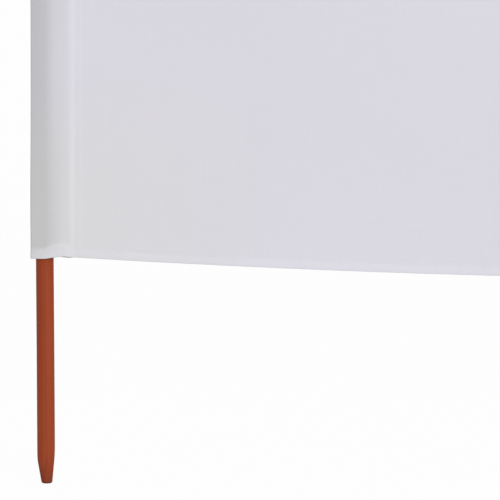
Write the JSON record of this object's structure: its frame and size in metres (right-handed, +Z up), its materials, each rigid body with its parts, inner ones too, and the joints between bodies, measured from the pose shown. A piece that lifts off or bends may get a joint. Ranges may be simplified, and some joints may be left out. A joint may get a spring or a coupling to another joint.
{
  "type": "beach windbreak",
  "caption": "Long low band of plain pale cloth in straight bays, on round wooden poles that stand in sewn pockets and are pushed into sand by their tapered feet, as a screen from the wind.",
  "frame": {"origin": "centre of the flat tip of the middle pole, pole_4, at ground level before it is pushed in", "axes": "+X along the row, +Y from the smooth side of the cloth towards the poles behind it, +Z up the poles"},
  "size_m": [8, 0.0462, 1.15],
  "materials": {
    "cloth": "plain woven, matt",
    "pole_wood": "red-brown stain, satin"
  },
  "bodies": {
    "root": {"pole_1": "pole_wood", "pole_2": "pole_wood", "pole_3": "pole_wood", "pole_4": "pole_wood", "pole_5": "pole_wood", "pole_6": "pole_wood", "pole_7": "pole_wood", "end_pocket_left": "cloth", "end_pocket_right": "cloth", "panel_1": "cloth", "panel_2": "cloth", "panel_3": "cloth", "panel_4": "cloth", "panel_5": "cloth", "panel_6": "cloth", "pocket_front_2": "cloth", "pocket_front_3": "cloth", "pocket_front_4": "cloth", "pocket_front_5": "cloth", "pocket_front_6": "cloth", "pocket_strip_2": "cloth", "pocket_strip_3": "cloth", "pocket_strip_4": "cloth", "pocket_strip_5": "cloth", "pocket_strip_6": "cloth"}
  },
  "joints": []
}
